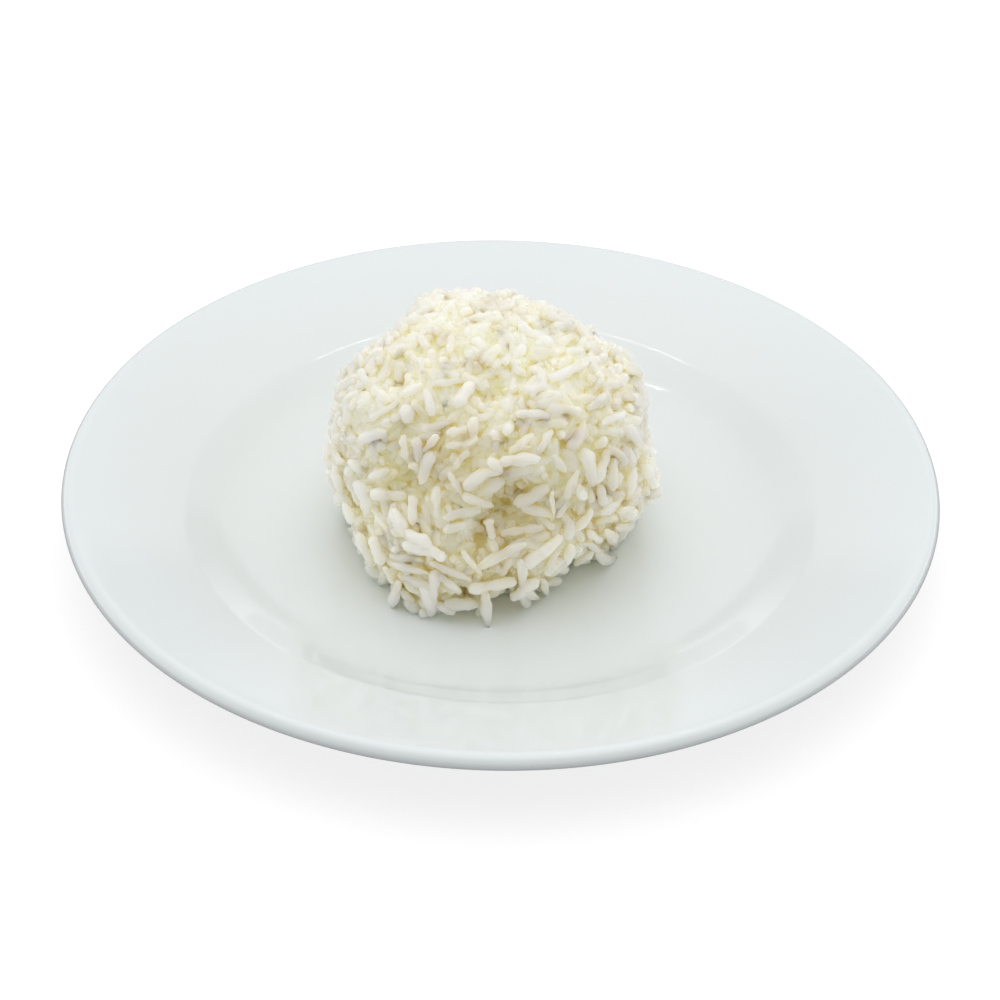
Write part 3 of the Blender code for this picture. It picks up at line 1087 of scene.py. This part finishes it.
# ---- core ----
def core_mesh():
    """The inside of the heap, as points, quads and triangles: the outline drawn in."""
    rows, columns = CORE_ROWS, CORE_COLUMNS
    elevation = np.linspace(CORE_LOWEST, math.pi / 2, rows, endpoint=False)[:, None]
    azimuth = np.linspace(0, math.tau, columns, endpoint=False)[None, :]
    directions = directions_at(elevation, azimuth)
    bumps = np.sin(azimuth * 31 + elevation * 50) * np.sin(elevation * 37 + azimuth * 7)
    radius = outline_radius(directions) - core_inset(directions) + CORE_BUMP * bumps
    points = np.array(HEAP_MIDDLE) + directions * radius[..., None]
    lowest = floor_height() + CORE_LIFT
    points[..., 2] = np.maximum(points[..., 2], lowest)
    top = HEAP_MIDDLE + Vector((0, 0, float(outline_radius(np.array((0, 0, 1.0)))) - TOP_CORE_INSET))
    foot = (HEAP_MIDDLE.x, HEAP_MIDDLE.y, lowest)
    return np.concatenate([points.reshape(-1, 3), [foot], [top]]), *closed_faces(rows, columns)


# ---- materials ----
def new_material(name):
    material = bpy.data.materials.new(name)
    material.use_nodes = True
    tree = material.node_tree
    return material, tree, tree.nodes["Principled BSDF"]


def node(tree, kind, inputs, **settings):
    """A new node, its inputs set by name or number, each to a value or from another node's output."""
    made = tree.nodes.new(kind)
    for name, value in settings.items():
        setattr(made, name, value)
    feed(tree, made, inputs)
    return made


def feed(tree, made, inputs):
    for name, value in inputs.items():
        socket = made.inputs[name]
        if isinstance(value, bpy.types.NodeSocket):
            tree.links.new(value, socket)
        elif socket.type == "RGBA":
            socket.default_value = (*value, 1.0)
        else:
            socket.default_value = value


NOISE_SPAN = (0.3, 0.7)  # most of a noise's values lie between these


def noise(tree, scale_per_m, detail=3.0):
    """Noise in the object's own coordinates, so many waves to the metre."""
    where = node(tree, "ShaderNodeTexCoord", {}).outputs["Object"]
    settings = {"Scale": scale_per_m, "Detail": detail, "Vector": where}
    return node(tree, "ShaderNodeTexNoise", settings).outputs["Fac"]


def map_range(tree, value, low, high, to_low, to_high):
    settings = {"Value": value, "From Min": low, "From Max": high, "To Min": to_low, "To Max": to_high}
    return node(tree, "ShaderNodeMapRange", settings).outputs["Result"]


def mix_colour(tree, factor, first, second):
    made = node(tree, "ShaderNodeMix", {"Factor": factor, "A": first, "B": second}, data_type="RGBA")
    return made.outputs["Result"]


def calculate(tree, operation, *values, **settings):
    made = node(tree, "ShaderNodeMath", dict(enumerate(values)), operation=operation, **settings)
    return made.outputs["Value"]


def scaled(tree, light, factor):
    made = node(tree, "ShaderNodeVectorMath", {"Vector": light, "Scale": factor}, operation="SCALE")
    return made.outputs["Vector"]


def bump(tree, height, strength, distance):
    settings = {"Height": height, "Strength": strength, "Distance": distance}
    return node(tree, "ShaderNodeBump", settings).outputs["Normal"]


def attribute(tree, name):
    return node(tree, "ShaderNodeAttribute", {}, attribute_name=name).outputs["Fac"]


def porcelain():
    """Glazed white porcelain, faintly cool, with a very slight waviness in the glaze."""
    material, tree, shader = new_material("white_porcelain")
    tone = map_range(tree, noise(tree, 9.0), *NOISE_SPAN, 0.0, 1.0)
    duller, brighter = (0.742, 0.782, 0.792), (0.762, 0.802, 0.807)
    colour = mix_colour(tree, tone, duller, brighter)
    feed(tree, shader, {
        "Base Color": colour,
        "Roughness": 0.05,
        "Specular IOR Level": 0.40,
        "Normal": bump(tree, noise(tree, 55.0, 1.0), 0.05, 0.4 * MM),
    })
    return material


def cooked_rice():
    """Cooked grains, each with its own tone: ivory white outside, with shade painted warmer and darker where
    closed in.
    """
    material, tree, shader = new_material("cooked_rice")
    mottle = map_range(tree, noise(tree, 500.0, 2.0), *NOISE_SPAN, -0.25, 0.25)
    tone = calculate(tree, "ADD", attribute(tree, "grain_tone"), mottle, use_clamp=True)
    ivory, white = (0.955, 0.930, 0.760), (0.982, 0.979, 0.905)
    outside = mix_colour(tree, tone, ivory, white)
    # painted shade: a warmer colour where a point lies closed in among grains, darker and warmer still in
    # the deepest hollows
    painted_crease_shade, painted_deep_shade = (0.958, 0.914, 0.66), (0.905, 0.820, 0.48)
    open_share = attribute(tree, "openness")
    inside = mix_colour(tree, map_range(tree, open_share, 0.75, 0.1, 0.0, 1.0), outside, painted_crease_shade)
    colour = mix_colour(tree, map_range(tree, open_share, 0.35, 0.08, 0.0, 1.0), inside, painted_deep_shade)
    shader.subsurface_method = "RANDOM_WALK"
    skin = noise(tree, 900.0, 2.0)
    feed(tree, shader, {
        "Base Color": colour,
        "Subsurface Weight": 1.0,
        "Subsurface Radius": (1.0, 1.0, 1.0),
        "Subsurface Scale": 19 * MM,
        "Specular IOR Level": 0.38,
        "Roughness": map_range(tree, skin, *NOISE_SPAN, 0.35, 0.60),
        "Normal": bump(tree, skin, 0.25, 0.3 * MM),
    })
    return material


def make_floor():
    """A pale floor. Its own soft glow keeps shadows on it faint, and it lights nothing else."""
    mesh = bpy.data.meshes.new("floor")
    side = 4.0
    corners = [(x, y, 0.0) for x, y in ((-side, -side), (side, -side), (side, side), (-side, side))]
    mesh.from_pydata(corners, [], [(0, 1, 2, 3)])
    material, tree, shader = new_material("pale_floor")
    colour = mix_colour(tree, noise(tree, 3.0), (0.30, 0.30, 0.30), (0.32, 0.32, 0.32))
    feed(tree, shader, {"Base Color": colour, "Roughness": 0.9, "Specular IOR Level": 0.0})
    feed(tree, shader, {"Emission Color": (1.0, 1.0, 1.0), "Emission Strength": 0.76})
    mesh.materials.append(material)
    floor = link(bpy.data.objects.new("floor", mesh))
    floor.visible_diffuse = False
    floor.visible_glossy = False
    floor.visible_transmission = False
    floor.visible_shadow = False


def tent_ramp(tree, height, stops):
    """Brightness by the height of the direction that the light comes from."""
    ramp = node(tree, "ShaderNodeValToRGB", {"Fac": map_range(tree, height, -1.0, 1.0, 0.0, 1.0)})
    elements = ramp.color_ramp.elements
    elements[0].position = (stops[0][0] + 1) / 2
    elements[1].position = (stops[-1][0] + 1) / 2
    for stop_height, _ in stops[1:-1]:
        elements.new((stop_height + 1) / 2)
    for element, (_, brightness) in zip(elements, stops):
        element.color = (brightness, brightness, brightness, 1.0)
    return ramp.outputs["Color"]


def make_tent():
    """A soft white tent: brightest overhead, dim below and about the camera, lighter low at the sides."""
    world = bpy.data.worlds.new("tent")
    bpy.context.scene.world = world
    world.use_nodes = True
    tree = world.node_tree
    where = node(tree, "ShaderNodeTexCoord", {}).outputs["Generated"]
    to_right, to_back, up = node(tree, "ShaderNodeSeparateXYZ", {"Vector": where}).outputs
    behind = tent_ramp(tree, up, TENT_BEHIND)
    in_front = tent_ramp(tree, up, TENT_IN_FRONT)
    middle = mix_colour(tree, map_range(tree, to_back, *FRONT_FADE, 1.0, 0.0), behind, in_front)
    sideways = calculate(tree, "ABSOLUTE", to_right)
    middle = scaled(tree, middle, map_range(tree, sideways, *MIDDLE_FADE, *MIDDLE_GAIN))
    beside = scaled(tree, tent_ramp(tree, up, TENT_BESIDE), map_range(tree, sideways, *SIDE_FADE, 0.0, 1.0))
    light = node(tree, "ShaderNodeVectorMath", {0: middle, 1: beside}, operation="ADD").outputs["Vector"]
    feed(tree, tree.nodes["Background"], {"Color": light, "Strength": 1.0})


def make_lamp_row():
    """A row of small lamps high over the table: the glaze shows them as a faint line with brighter dots."""
    data = bpy.data.lights.new("lamp_row", "AREA")
    data.shape = "RECTANGLE"
    data.size = LAMP_ROW_LENGTH
    data.size_y = LAMP_SIZE
    data.energy = LAMP_ROW_POWER
    lamp = link(bpy.data.objects.new("lamp_row", data))
    lamp.location = LAMP_ROW_PLACE
    lamp.rotation_euler = (Vector(LAMP_ROW_AIM) - Vector(LAMP_ROW_PLACE)).to_track_quat("-Z", "Y").to_euler()
    data.use_nodes = True
    tree = data.node_tree
    place = node(tree, "ShaderNodeNewGeometry", {}).outputs["Parametric"]
    along = node(tree, "ShaderNodeSeparateXYZ", {"Vector": place}).outputs["X"]
    wave = calculate(tree, "SINE", calculate(tree, "MULTIPLY", along, LAMPS * math.tau))
    feed(tree, tree.nodes["Emission"], {"Strength": map_range(tree, wave, *LAMP_EDGE, *LAMP_GLOW)})


def set_colours():
    view = bpy.context.scene.view_settings
    view.view_transform = "Standard"
    view.look = "None"
    view.exposure = 0.0
    view.gamma = 1.0
    bpy.context.scene.cycles.max_bounces = BOUNCES
    bpy.context.scene.cycles.diffuse_bounces = BOUNCES


# ---- the scene ----
make_camera()
make_plate()
make_rice(heap_grains())
make_floor()
make_tent()
make_lamp_row()
set_colours()
